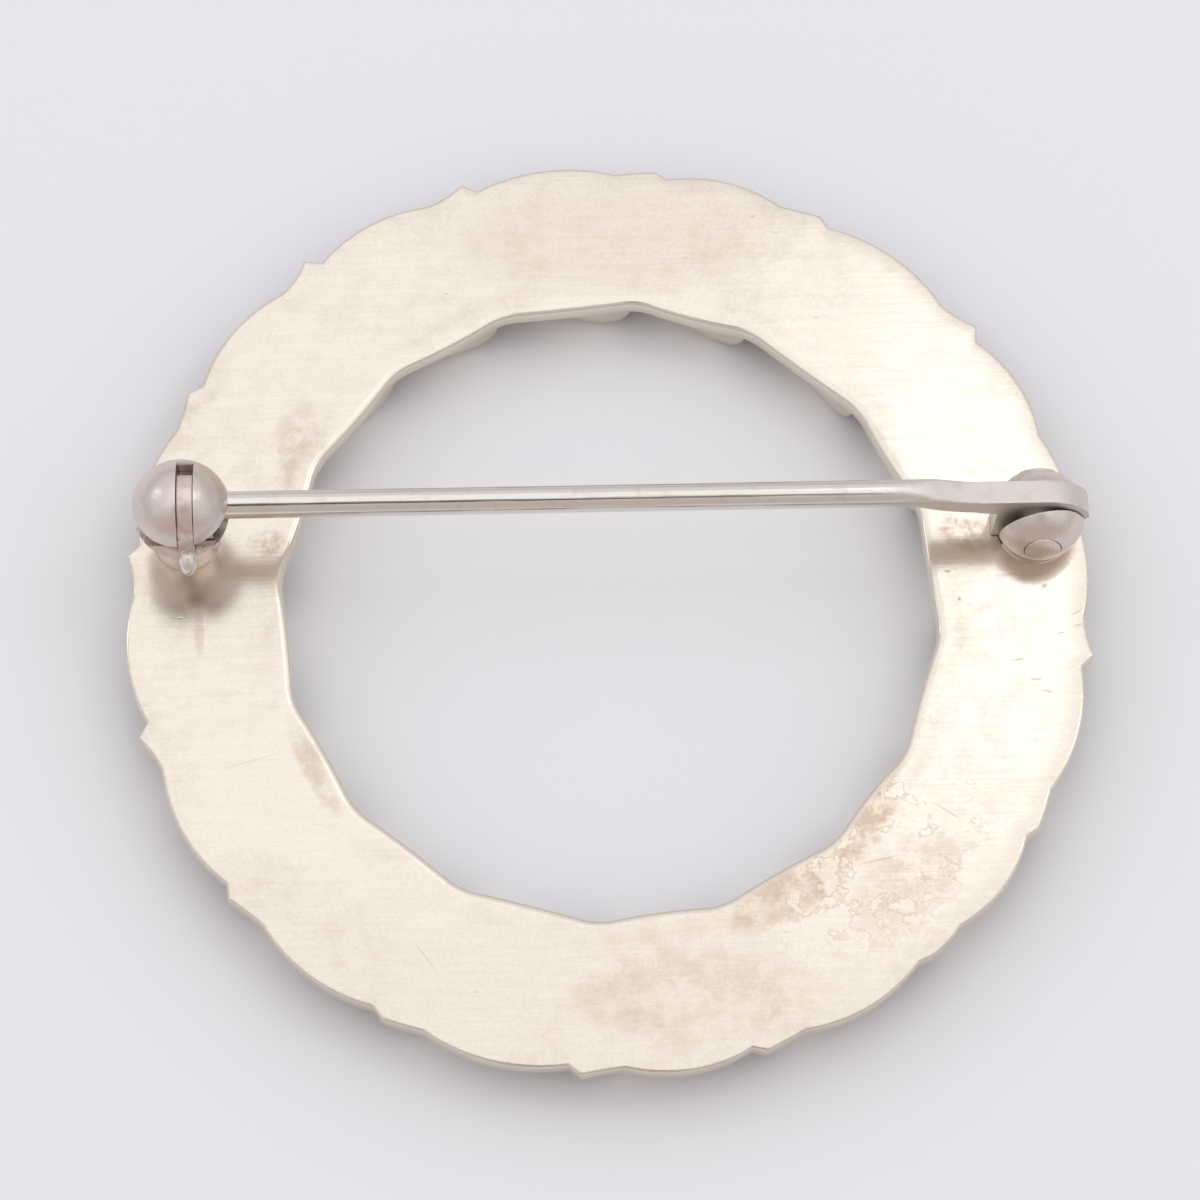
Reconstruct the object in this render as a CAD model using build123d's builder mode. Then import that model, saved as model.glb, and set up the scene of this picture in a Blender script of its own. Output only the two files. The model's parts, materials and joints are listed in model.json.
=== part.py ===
from build123d import *
from math import asin, cos, degrees, radians, sin, sqrt
import os

os.makedirs("parts", exist_ok=True)

# A circle brooch of cast silver, lying face down. All lengths are millimetres and all angles degrees.
# Z points up out of its back, X runs along the pin from the catch to the hinge, and the origin is the
# ring's centre on the surface that the leaves rest on.

# The ring: a thin back plate cut to the leaves' outline, with the leaves in relief on its front
outer_radius = 23.0
inner_radius = 15.3
ring_depth = 3.0
plate_thickness = 0.8

# The outer outline of one leaf: a short barb stands out at its tip, over the leaf before it
barb_height = 0.45
barb_lead = 1.6
hollow_depth = 0.42
hollow_trail = 5.0
hollow_bend_depth = 0.6
hollow_bend_place = 0.42
crown_depth = 0.05
crown_place = 0.64

# The inner outline: each leaf swells towards the centre between two soft notches
notch_height = 0.27
notch_trail = 1.0
notch_shoulder = 0.21
notch_half_angle = 2.6
swell_place = 0.64

# The relief: a round stem with an outer and an inner leaf springing from it, tip after tip
stem_radius = 19.2
stem_wire = 1.5
leaf_reach = 25.0
outer_leaf_margin = 0.35
outer_leaf_rim_bulge = 1.45
outer_leaf_stem_bulge = 2.05
inner_leaf_margin = 0.5
inner_leaf_rim_bulge = 1.2
inner_leaf_stem_bulge = 1.85

# The pin stem: a straight wire, forged flat at the hinge into a disc that turns on the rivet
pin_y = 3.65
wire_diameter = 1.28
wire_lift = 4.3
tab_thickness = 1.1
tab_radius = 2.3
neck_height = 1.25
neck_reach = 3.1
forge_reach = 6.8
toe_step = 0.15
toe_reach = 2.16
heel_gap = 0.1
opening_angle = 60.0
point_length = 1.3
point_end_radius = 0.12

# The hinge: a slotted ball soldered to the plate, with a rivet through it
hinge_inset = 2.54
hinge_y = 3.55
hinge_radius = 2.18
hinge_lift = 1.5
rivet_diameter = 1.72
rivet_lift = 1.9
rivet_proud = 0.03

# The catch: a slotted ball on a foot, with a mouth for the pin and a turning lock inside. The slot is
# open from its back angle to the front, and behind that the lock turns under the ball's skin
catch_inset = 2.98
catch_y = 3.5
catch_radius = 2.32
catch_lift = 4.3
foot_radius = 1.5
lock_offset = 0.3
lock_thickness = 0.7
lock_radius = 2.1
lock_back = 64.0
lock_front = 205.0
lock_turn = 70.0
slot_back = 40.0
hub_length = 2.4
hub_wall = 0.38
hub_back = -35.0
lever_radius = 2.65
lever_thickness = 0.9
lever_room = 1.0

# Clearances
rivet_clearance = 0.02
turning_clearance = 0.05
slot_clearance = 0.06
mouth_clearance = 0.1
pin_clearance = 0.3
end_angle_clearance = 8.0
solder_overlap = 0.1

# Where each leaf's barb stands, counted anticlockwise as seen from the back, and how far it reaches
# as a share of the outer radius
leaves = [
    # barb_angle, barb_reach
    (16.4, 0.992),
    (37.6, 1.004),
    (61.5, 0.996),
    (82.7, 0.993),
    (106.8, 1.004),
    (128.5, 1.007),
    (150.7, 1.000),
    (172.8, 1.003),
    (195.7, 1.006),
    (218.1, 0.998),
    (241.2, 0.994),
    (265.1, 0.998),
    (286.7, 0.995),
    (309.2, 0.988),
    (329.6, 0.993),
    (352.4, 1.003),
]

# How a leaf narrows from the plate to its ridge, as shares of the relief's height and the leaf's size
leaf_sections = [
    # height, length, width
    (0.00, 1.00, 1.00),
    (0.55, 0.92, 0.86),
    (1.00, 0.56, 0.20),
]

# How the round wire is forged to the flat of the disc, as shares of the way from the one to the other,
# and how square its corners are
forged_sections = [
    # along, drop, spread, squareness
    (0.00, 0.00, 0.00, 0.707),
    (0.45, 0.40, 0.45, 0.84),
    (1.00, 1.00, 1.00, 0.96),
]

# Worked out from the sizes above
hinge_x = outer_radius - hinge_inset
catch_x = catch_inset - outer_radius
lock_x = catch_x + lock_offset
back_z = ring_depth
plate_front_z = ring_depth - plate_thickness
wire_z = back_z + wire_lift
rivet_z = back_z + rivet_lift
hinge_z = back_z + hinge_lift
catch_z = back_z + catch_lift
heel_radius = rivet_lift - heel_gap
hub_bore = wire_diameter / 2 + abs(pin_y - catch_y) + pin_clearance
hub_radius = hub_bore + hub_wall
mouth_height = wire_diameter + 2 * mouth_clearance
wire_radius = wire_diameter / 2
heel_normal = opening_angle - 90
heel_end = degrees(asin(sqrt(tab_radius**2 - heel_radius**2) / tab_radius)) + heel_normal
neck_x = hinge_x - neck_reach
forge_x = hinge_x - forge_reach
point_x = catch_x - catch_radius / 2 + point_length / 2
neck_top = tab_radius
neck_foot = tab_radius - neck_height


def polar(radius, angle):
    """A point of the ring's plane by its distance from the centre and its angle."""
    return (radius * cos(radians(angle)), radius * sin(radians(angle)))


def leaf_spans():
    """Each leaf's barb angle and reach, with the angle of the next barb anticlockwise."""
    for index, (angle, reach) in enumerate(leaves):
        following = leaves[(index + 1) % len(leaves)][0]
        yield angle, reach, angle + (following - angle) % 360


def leaf_outline(length, left_bulge, right_bulge):
    """A leaf's pointed outline: two arcs between its ends, centred on the middle of its length."""
    with BuildLine() as outline:
        ThreePointArc((-length / 2, 0), (0, left_bulge), (length / 2, 0))
        ThreePointArc((length / 2, 0), (0, -right_bulge), (-length / 2, 0))
    make_face(outline.edges())


def forged_outline(half_width, half_height, squareness):
    """A forged section: four shallow arcs whose corners go from a circle's to nearly square."""
    x, z = half_width * squareness, half_height * squareness
    with BuildLine() as outline:
        ThreePointArc((x, -z), (half_width, 0), (x, z))
        ThreePointArc((x, z), (0, half_height), (-x, z))
        ThreePointArc((-x, z), (-half_width, 0), (-x, -z))
        ThreePointArc((-x, -z), (0, -half_height), (x, -z))
    make_face(outline.edges())


def sector_outline(inner, outer, start, end):
    """A sector of a ring about the local origin, from one angle to another."""
    with BuildLine() as outline:
        CenterArc((0, 0), outer, start, end - start)
        Line(polar(outer, end), polar(inner, end))
        CenterArc((0, 0), inner, end, start - end)
        Line(polar(inner, start), polar(outer, start))
    make_face(outline.edges())


def stem_stations():
    """The stem's sections from its point to the neck: place, height, half sizes and squareness."""
    neck_z = rivet_z + tab_radius - neck_height / 2
    yield point_x - point_length, wire_z, point_end_radius, point_end_radius, sqrt(0.5)
    yield point_x, wire_z, wire_radius, wire_radius, sqrt(0.5)
    for along, drop, spread, squareness in forged_sections:
        yield (
            forge_x + along * (neck_x - forge_x),
            wire_z + drop * (neck_z - wire_z),
            wire_radius + spread * (tab_thickness / 2 - wire_radius),
            wire_radius + spread * (neck_height / 2 - wire_radius),
            squareness,
        )


def relief_leaf(tip, base, left_bulge, right_bulge):
    """One leaf of the relief, lofted from the plate's front to the surface that the brooch rests on."""
    tip, base = Vector(*tip), Vector(*base)
    middle, run = (tip + base) / 2, tip - base
    relief = plate_front_z
    sections = []
    for height, length_share, width_share in leaf_sections:
        z = relief * (1 - height) + (solder_overlap if height == 0 else 0)
        plane = Plane(origin=(middle.X, middle.Y, z), x_dir=(run.X, run.Y, 0), z_dir=(0, 0, 1))
        with BuildSketch(plane) as section:
            leaf_outline(run.length * length_share, left_bulge * width_share, right_bulge * width_share)
        sections.append(section.sketch)
    return loft(sections=sections, mode=Mode.PRIVATE)


# The ring, with both fittings soldered to its back
with BuildPart() as wreath_ring:
    with BuildSketch(Plane.XY.offset(plate_front_z)):
        with BuildLine():
            for barb, reach, following in leaf_spans():
                foot = polar(outer_radius - barb_height, barb - barb_lead)
                tip = polar(outer_radius * reach, barb)
                bend_radius = outer_radius - hollow_bend_depth * hollow_depth
                bend = polar(bend_radius, barb + hollow_bend_place * hollow_trail)
                hollow = polar(outer_radius - hollow_depth, barb + hollow_trail)
                crown = polar(outer_radius - crown_depth, barb + crown_place * (following - barb))
                next_foot = polar(outer_radius - barb_height, following - barb_lead)
                Line(foot, tip)
                ThreePointArc(tip, bend, hollow)
                ThreePointArc(hollow, crown, next_foot)
        make_face()
        with BuildLine():
            for barb, reach, following in leaf_spans():
                shoulder_radius = inner_radius + notch_shoulder
                before = polar(shoulder_radius, barb + notch_trail - notch_half_angle)
                notch = polar(inner_radius + notch_height, barb + notch_trail)
                after = polar(shoulder_radius, barb + notch_trail + notch_half_angle)
                swell = polar(inner_radius, barb + notch_trail + swell_place * (following - barb))
                next_before = polar(shoulder_radius, following + notch_trail - notch_half_angle)
                ThreePointArc(before, notch, after)
                ThreePointArc(after, swell, next_before)
        make_face(mode=Mode.SUBTRACT)
    extrude(amount=plate_thickness)

    # The hinge ball, slotted for the disc and bored for the rivet
    with BuildSketch(Plane.XY.offset(back_z - solder_overlap)):
        with Locations((hinge_x, hinge_y)):
            Circle(sqrt(hinge_radius**2 - (hinge_lift + solder_overlap) ** 2))
    extrude(amount=solder_overlap)
    with Locations((hinge_x, hinge_y, hinge_z)):
        Sphere(hinge_radius, arc_size1=-degrees(asin(hinge_lift / hinge_radius)))
    with BuildSketch(Plane.XY.offset(back_z)):
        with Locations((hinge_x, pin_y)):
            Rectangle(4 * hinge_radius, tab_thickness + 2 * slot_clearance)
    extrude(amount=hinge_lift + 2 * hinge_radius, mode=Mode.SUBTRACT)
    with BuildSketch(Plane.XZ.offset(-hinge_y)):
        with Locations((hinge_x, rivet_z)):
            Circle(rivet_diameter / 2 + rivet_clearance)
    extrude(amount=2 * hinge_radius, both=True, mode=Mode.SUBTRACT)

    # The catch ball on its foot
    with BuildSketch(Plane.XY.offset(back_z - solder_overlap)):
        with Locations((catch_x, catch_y)):
            Circle(foot_radius)
    extrude(amount=catch_lift)
    with Locations((catch_x, catch_y, catch_z)):
        Sphere(catch_radius)
    catch_plane = Plane(origin=(lock_x, catch_y, catch_z), x_dir=(0, 1, 0), z_dir=(1, 0, 0))
    with BuildSketch(catch_plane):
        open_reach = lever_radius + lever_room
        sector_outline(hub_bore / 2, open_reach, slot_back, lock_front + 2 * end_angle_clearance)
        hidden_start = lock_back - lock_turn - end_angle_clearance
        sector_outline(hub_bore / 2, lock_radius + turning_clearance, hidden_start, slot_back)
    extrude(amount=lock_thickness / 2 + turning_clearance, both=True, mode=Mode.SUBTRACT)
    with BuildSketch(catch_plane):
        Circle(hub_radius + turning_clearance)
    extrude(amount=hub_length / 2 + turning_clearance, both=True, mode=Mode.SUBTRACT)
    with BuildSketch(Plane.YZ.offset(catch_x)):
        with Locations((pin_y, wire_z)):
            Circle(mouth_height / 2)
        with Locations((pin_y, wire_z)):
            Rectangle(2 * catch_radius, mouth_height, align=(Align.MAX, Align.CENTER))
    extrude(amount=2 * catch_radius, both=True, mode=Mode.SUBTRACT)

    # The stem and the two rows of leaves on the front
    with BuildSketch(Plane.XZ):
        with Locations((stem_radius, plate_front_z)):
            Circle(stem_wire / 2)
    revolve(axis=Axis.Z)
    relief = []
    for barb, reach, following in leaf_spans():
        base = polar(stem_radius, barb + leaf_reach)
        outer_tip = polar(outer_radius - outer_leaf_margin, barb + barb_lead / 2)
        inner_tip = polar(inner_radius + inner_leaf_margin, barb + notch_trail + barb_lead / 2)
        relief.append(relief_leaf(outer_tip, base, outer_leaf_rim_bulge, outer_leaf_stem_bulge))
        relief.append(relief_leaf(inner_tip, base, inner_leaf_stem_bulge, inner_leaf_rim_bulge))
    add(relief, clean=False)

wreath_ring.part.label = "wreath_ring"
export_step(wreath_ring.part, "parts/wreath_ring.step")

# The rivet, filed flush with the hinge ball
with BuildPart() as hinge_rivet:
    with BuildSketch(Plane.XZ.offset(-hinge_y)):
        with Locations((hinge_x, rivet_z)):
            Circle(rivet_diameter / 2)
    extrude(amount=2 * hinge_radius, both=True)
    with Locations((hinge_x, hinge_y, hinge_z)):
        Sphere(hinge_radius + rivet_proud, mode=Mode.INTERSECT)

hinge_rivet.part.label = "hinge_rivet"
export_step(hinge_rivet.part, "parts/hinge_rivet.step")

# The pin stem: disc with toe and heel, forged neck, wire and point
with BuildPart() as pin_stem:
    rivet_plane = Plane(origin=(hinge_x, pin_y, rivet_z), x_dir=(1, 0, 0), z_dir=(0, -1, 0))
    with BuildSketch(rivet_plane):
        with BuildLine():
            Line((-toe_reach, -heel_radius), (0, -heel_radius))
            CenterArc((0, 0), heel_radius, -90, opening_angle)
            Line(polar(heel_radius, heel_normal), polar(tab_radius, heel_end))
            CenterArc((0, 0), tab_radius, heel_end, 90 - heel_end)
            Line((0, tab_radius), (-neck_reach, neck_top))
            Line((-neck_reach, neck_top), (-neck_reach, neck_foot))
            Line((-neck_reach, neck_foot), (-toe_reach, neck_foot - toe_step))
            Line((-toe_reach, neck_foot - toe_step), (-toe_reach, -heel_radius))
        make_face()
        Circle(rivet_diameter / 2 + rivet_clearance + turning_clearance, mode=Mode.SUBTRACT)
    extrude(amount=tab_thickness / 2, both=True)
    stations = []
    for x, z, half_width, half_height, squareness in stem_stations():
        with BuildSketch(Plane(origin=(x, pin_y, z), x_dir=(0, 1, 0), z_dir=(1, 0, 0))) as station:
            forged_outline(half_width, half_height, squareness)
        stations.append(station.sketch)
    loft(sections=stations, ruled=True)

pin_stem.part.label = "pin_stem"
export_step(pin_stem.part, "parts/pin_stem.step")

# The catch's lock: a hollow hub, a segment that closes the mouth, and the lever that turns it
with BuildPart() as catch_lock:
    with BuildSketch(catch_plane):
        sector_outline(hub_bore, hub_radius, hub_back, lock_front)
    extrude(amount=hub_length / 2, both=True)
    with BuildSketch(catch_plane):
        sector_outline(hub_radius - solder_overlap, lock_radius, lock_back, lock_front)
    extrude(amount=lock_thickness / 2, both=True)
    with BuildSketch(catch_plane):
        with PolarLocations((lock_radius + lever_radius) / 2 - lever_thickness / 2, 1, lock_front):
            SlotOverall(lever_radius - lock_radius + 2 * lever_thickness, lever_thickness)
    extrude(amount=lock_thickness / 2, both=True)

catch_lock.part.label = "catch_lock"
export_step(catch_lock.part, "parts/catch_lock.step")
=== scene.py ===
import json
from math import asin, atan2, cos, degrees, exp, log, pi, radians, sin, sqrt, tan

import bmesh
import bpy
from mathutils import Matrix, Vector


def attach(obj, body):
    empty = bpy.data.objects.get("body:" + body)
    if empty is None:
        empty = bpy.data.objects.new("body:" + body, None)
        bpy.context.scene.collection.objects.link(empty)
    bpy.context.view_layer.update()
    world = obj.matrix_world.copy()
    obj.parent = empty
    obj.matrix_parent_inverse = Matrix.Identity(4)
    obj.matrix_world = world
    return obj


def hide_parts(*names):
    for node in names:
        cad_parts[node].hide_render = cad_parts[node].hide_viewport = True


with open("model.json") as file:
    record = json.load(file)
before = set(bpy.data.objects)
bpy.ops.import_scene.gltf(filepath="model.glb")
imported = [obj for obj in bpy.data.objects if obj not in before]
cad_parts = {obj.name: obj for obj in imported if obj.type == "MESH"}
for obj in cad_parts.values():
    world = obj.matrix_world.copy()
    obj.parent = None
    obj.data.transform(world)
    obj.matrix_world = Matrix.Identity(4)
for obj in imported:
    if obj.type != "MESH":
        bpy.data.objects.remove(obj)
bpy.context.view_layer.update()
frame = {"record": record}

bl_info = {
    "name": "Circle Brooch",
    "version": (1, 0, 0),
    "blender": (4, 5, 0),
    "location": "3D View > Sidebar > Brooch",
    "description": "Builds a cast silver wreath brooch that lies face down",
    "category": "Add Mesh",
}

# Tables are in millimetres and degrees. Z points up out of the back, X runs from the catch to the hinge.
METRES = 0.001

LEAVES = [
    # barb_angle, barb_reach
    (16.4, 0.992),
    (37.6, 1.004),
    (61.5, 0.996),
    (82.7, 0.993),
    (106.8, 1.004),
    (128.5, 1.007),
    (150.7, 1.000),
    (172.8, 1.003),
    (195.7, 1.006),
    (218.1, 0.998),
    (241.2, 0.994),
    (265.1, 0.998),
    (286.7, 0.995),
    (309.2, 0.988),
    (329.6, 0.993),
    (352.4, 1.003),
]

# The plate's worn rims, from the inner wall over the back to the outer wall: how far in from its edge
# each corner lies, and how far below the back
INNER_RIM = [
    # inset, drop
    (0.00, 0.34),
    (0.012, 0.22),
    (0.04, 0.135),
    (0.09, 0.075),
    (0.16, 0.038),
    (0.25, 0.015),
    (0.35, 0.004),
    (0.45, 0.00),
    (1.10, 0.00),
]
OUTER_RIM = [
    # inset, drop
    (1.10, 0.00),
    (0.20, 0.00),
    (0.15, 0.006),
    (0.10, 0.02),
    (0.06, 0.045),
    (0.025, 0.09),
    (0.005, 0.16),
    (0.00, 0.26),
]

# How the wire is forged to the flat of the disc: shares of the way from the one to the other, and how
# square each section is, from 0.707 for a round one
FORGED = [
    # along, drop, spread, squareness
    (0.00, 0.00, 0.00, 0.707),
    (0.12, 0.02, 0.04, 0.73),
    (0.25, 0.10, 0.14, 0.78),
    (0.38, 0.26, 0.30, 0.86),
    (0.52, 0.46, 0.50, 0.915),
    (0.68, 0.70, 0.72, 0.94),
    (0.84, 0.90, 0.90, 0.95),
    (1.00, 1.00, 1.00, 0.96),
]


def mm(length):
    """A length in metres as millimetres."""
    return length / METRES


def polar(radius, angle):
    """A point in the plane by its distance from the centre and its angle."""
    return radius * cos(radians(angle)), radius * sin(radians(angle))


def smooth(share):
    """A share from 0 to 1, eased at both ends."""
    share = min(max(share, 0.0), 1.0)
    return share * share * (3 - 2 * share)


def length_value(name, description, default):
    """A length in metres that a user can change."""
    return bpy.props.FloatProperty(
        name=name, description=description, default=default, unit="LENGTH", precision=5
    )


def colour_value(name, description, default):
    """A colour that a user can change."""
    return bpy.props.FloatVectorProperty(
        name=name, description=description, default=default, subtype="COLOR"
    )


def angle_value(name, description, default):
    """An angle, given here in degrees, that a user can change."""
    return bpy.props.FloatProperty(
        name=name, description=description, default=radians(default), subtype="ANGLE"
    )


class BroochSizes(bpy.types.PropertyGroup):
    """The sizes of the brooch that a user would change."""

    outer_radius: length_value("Outer radius", "Radius over the leaf tips", 0.023)
    inner_radius: length_value("Inner radius", "Radius of the opening", 0.0153)
    ring_depth: length_value("Ring depth", "Height of the back above the leaves", 0.003)
    plate_thickness: length_value("Plate thickness", "Thickness behind the leaves", 0.0008)
    barb_height: length_value("Barb height", "How far a leaf tip stands out", 0.00045)
    stem_radius: length_value("Stem radius", "Radius of the wreath's stem", 0.0192)
    stem_wire: length_value("Stem wire", "Thickness of the wreath's stem", 0.0015)
    wire_diameter: length_value("Pin wire", "Thickness of the pin's wire", 0.00128)
    tab_thickness: length_value("Disc thickness", "Thickness of the pin's disc", 0.0011)
    hinge_radius: length_value("Hinge radius", "Radius of the hinge ball", 0.00218)
    catch_radius: length_value("Catch radius", "Radius of the catch ball", 0.00232)
    rivet_diameter: length_value("Rivet", "Thickness of the hinge's rivet", 0.00172)


class BroochFinish(bpy.types.PropertyGroup):
    """The colours and polish of the brooch."""

    silver: colour_value("Silver", "Clean silver", (0.82, 0.752, 0.66))
    tarnish: colour_value("Tarnish", "Brown tarnish", (0.50, 0.36, 0.25))
    grey_silver: colour_value("Grey silver", "Dull silver of the fittings", (0.73, 0.65, 0.61))
    wire_silver: colour_value("Wire silver", "Drawn silver of the pin", (0.76, 0.72, 0.675))
    dark_silver: colour_value("Dark silver", "Blackened hollows of the front", (0.10, 0.09, 0.085))
    back_roughness: bpy.props.FloatProperty(
        name="Back roughness",
        description="Roughness of the back",
        default=0.2,
        min=0.0,
        max=1.0,
        subtype="FACTOR",
    )


class BroochStage(bpy.types.PropertyGroup):
    """The floor, the lights and the camera."""

    floor: colour_value("Floor", "Pale floor", (0.92, 0.92, 0.953))
    room: colour_value("Room", "Light of the room", (0.90, 0.893, 0.908))
    near_room: colour_value("Near room", "Light of the room's near side", (0.64, 0.57, 0.53))
    walls: colour_value("Walls", "Light of the room's walls", (0.62, 0.60, 0.59))
    lens: colour_value("Lens", "Colour of the lens", (0.05, 0.045, 0.04))
    room_strength: bpy.props.FloatProperty(
        name="Room strength", description="Brightness of the room", default=0.97
    )
    top_power: bpy.props.FloatProperty(
        name="Top light", description="Power of the light overhead", default=0.298, unit="POWER"
    )
    elevation: angle_value("Elevation", "How steeply the camera looks down", 69.597)
    heading: angle_value("Heading", "How far the camera stands to the left", 5.3986)
    roll: angle_value("Roll", "How far the camera leans", 4.0)
    distance: length_value("Distance", "From the camera to the brooch", 0.2)


def leaf_spans():
    """Each leaf's barb angle and reach, with the angle of the next barb anticlockwise."""
    for index, (angle, reach) in enumerate(LEAVES):
        following = LEAVES[(index + 1) % len(LEAVES)][0]
        yield angle, reach, angle + (following - angle) % 360


def through(place, *points):
    """The height at a place on the parabola through three points."""
    total = 0.0
    for index, (at, height) in enumerate(points):
        weight = height
        for other, (elsewhere, _) in enumerate(points):
            if other != index:
                weight *= (place - elsewhere) / (at - elsewhere)
        total += weight
    return total


# Where the two moving pieces turn
JOINTS = {
    joint["name"]: Vector(joint["pos_m"]) / METRES for joint in frame["record"]["behaviour"]["joints"]
}
RIVET = JOINTS["pin_swing"]
LOCK = JOINTS["catch_turn"]

# The ring
COLUMNS = 1440
FLAT_ROWS = 8
BARB_LEAD = 1.6
HOLLOW_DEPTH = 0.42
HOLLOW_TRAIL = 5.0
HOLLOW_BEND = (0.42, 0.6)
CROWN_DEPTH = 0.05
CROWN_PLACE = 0.64
NOTCH_HEIGHT = 0.27
NOTCH_TRAIL = 1.0
NOTCH_SHOULDER = 0.21
NOTCH_HALF_ANGLE = 2.6
SWELL_PLACE = 0.64

# Where the back is stained and scratched, after the photograph's darker patches and lines; the thin streak
# below the catch is a painted reflection of the catch's lever, and the last two broad, even ovals only
# darken the near and far edges
STAINS_AND_PAINTED_REFLECTION = [
    # x, y, width, height, turn, strength, evenness
    (17.1, 3.2, 1.6, 0.9, -25, 0.5625, 0.1),
    (-16.2, 3.4, 1.0, 0.7, 0, 0.525, 0.1),
    # Painted reflection: the catch's lever mirrored in the back, a thin dark streak below the catch
    (-19.4, -1.2, 0.25, 1.2, 0, 0.25, 0.8),
    (-19.8, 10.4, 1.2, 3.0, -25, 0.175, 0.3),
    (13.1, -7.6, 0.6, 3.0, -18, 0.4375, 0.3),
    (11.6, -11.2, 1.0, 2.4, -35, 0.5625, 0.25),
    (7.8, -14.4, 1.3, 3.2, -60, 0.45, 0.3),
    (13.6, -13.8, 3.2, 1.8, 40, 0.25, 0.2),
    (12.7, 8.2, 0.8, 2.6, 35, 0.325, 0.3),
    (-14.1, -7.8, 0.6, 2.8, 25, 0.45, 0.3),
    (-14.6, 8.2, 1.5, 2.6, -10, 0.25, 0.15),
    (-16.5, -13.4, 2.4, 1.6, -20, 0.175, 0.3),
    # The last two ovals are broad and nearly even: they darken the near and far edges of the back
    (3.5, -19.2, 6.5, 2.4, 0, 0.2, 0.5),
    (1.0, 19.2, 9.0, 3.4, 0, 0.2, 0.9),
]
SCRATCHES = [
    # x, y, length, width, turn, strength
    (19.2, -3.2, 0.30, 0.05, 12, 0.45),
    (20.0, -4.2, 0.30, 0.07, 5, 0.40),
    (20.5, -4.8, 0.24, 0.07, -20, 0.45),
    (22.2, -1.5, 0.26, 0.05, 10, 0.40),
    (22.1, -0.9, 0.30, 0.05, 25, 0.40),
    (21.3, -1.9, 0.28, 0.05, 8, 0.45),
    (16.6, -0.1, 0.09, 0.09, 0, 0.60),
    (20.7, 0.5, 0.16, 0.10, 30, 0.50),
    (12.2, -12.9, 1.10, 0.05, 12, 0.30),
    (15.4, -10.6, 0.80, 0.05, -35, 0.28),
    (-9.0, -17.1, 0.90, 0.04, -55, 0.30),
    (-17.0, -7.5, 1.60, 0.05, 15, 0.16),
]
# The oval where the tarnish has tide marks: x, y, width, height, turn
TIDE = (12.0, -12.5, 6.5, 4.5, 35)
# How far the whole back has tarnished
DULL = 0.035

# The leaves in relief: margins from the plate's edges, and how far each half bulges sideways
LEAF_REACH = 25.0
LEAF_ROWS = (56, 24)
LEAF_SINK = 0.08
VEINS = 5
VEIN_DEPTH = 0.09
VEIN_WIDTH = 0.13
VEIN_SLANT = 0.42
MIDRIB_DEPTH = 0.2
MIDRIB_WIDTH = 0.07
STEM_STEPS = 360
OUTER_LEAF = {"margin": 0.35, "outward": 1.45, "inward": 2.05}
INNER_LEAF = {"margin": 0.3, "outward": 1.85, "inward": 1.3}
LEAF_SKEW = 0.3
# Between these two radii the bright wear at the opening ends
WORN_REACH = (15.7, 16.3)

# The fittings: shapes that cut right through a ball reach past it on all sides
MERGE = 1e-4
PAST = 5.0
HINGE_LIFT = 1.5
HINGE_SHIFT = 0.1
HINGE_FOOT = 1.9
FLANGE = 0.14
WEDGE_ANGLE = 8.0
WEDGE_PIVOT = 1.2
WEDGE_END = 2.0
RIVET_STOCK = 6.0
RIVET_GAP = 0.035
RIVET_PROUD = 0.03
CATCH_SHIFT = 0.3
FOOT_RADIUS = 1.5
SOLDER_HEIGHT = 0.08
SOLDER_SINK = 0.06
SLOT_GAP = 0.06
BALL_ROWS = 60
BALL_COLUMNS = 96
TURNING_GAP = 0.05
MOUTH_GAP = 0.1
MOUTH_REACH = 4.0
LIP_START = 1.55
LIP_SLOPE = 32

# How far each piece's sharp edges are rounded
HINGE_EDGE = 0.07
RIVET_EDGE = 0.05
CATCH_EDGE = 0.14
LOCK_EDGE = 0.06
PIN_EDGE = 0.07

# The angle from which an edge is rounded, and those from which an edge stays a crease
ROUNDED_FROM = 35
ROUNDED_CREASE = 50
PLATE_CREASE = 40
LEAF_CREASE = 60

# How many sides stand for a round
ROD_SIDES = 64
WIRE_SIDES = 48
TWIG_SIDES = 24
FLOOR_SIDES = 96

# The lock: angles are counted from +Y towards +Z
LOCK_THICKNESS = 0.7
LOCK_RADIUS = 2.1
LOCK_ANGLES = (64, 205)
SLOT_ANGLES = (40, 221)
SLOT_RADII = (0.5, 4.0)
HIDDEN_ANGLES = (-14, 42)
HUB_INNER = 1.09
HUB_OUTER = 1.40
HUB_LENGTH = 2.4
HUB_LAP = 0.1
HUB_ANGLES = (-35, 205)
LEVER_WIDTH = 0.7
LEVER_NEAR = 1.3
LEVER_FAR = 2.3
LEVER_ROUNDING = 0.2
KNOB_PLACE = 2.40
KNOB_SIZE = (0.42, 0.72, 0.46)
KNOB_REACH = (1.7, 2.2)

# The pin: its disc, and its point as places from the end of the cone and shares of the wire's radius
TAB_RADIUS = 2.3
HEEL_RADIUS = 1.8
OPENING = 60
HEEL_END = degrees(asin(sqrt(TAB_RADIUS**2 - HEEL_RADIUS**2) / TAB_RADIUS)) + OPENING - 90
TOE_REACH = 2.16
TOE_STEP = 0.15
NECK_HEIGHT = 1.25
NECK_FOOT = TAB_RADIUS - NECK_HEIGHT
NECK_REACH = 3.1
NECK_LAP = 0.2
FORGE_REACH = 6.8
FORGED_FROM = (12.0, 15.5)
WIRE_ROWS = 10
POINT_X = -20.53
POINT = [
    # place, radius
    (-1.34, 0.08),
    (-1.28, 0.19),
    (-0.85, 0.52),
    (-0.42, 0.80),
    (0.00, 1.00),
]

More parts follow.
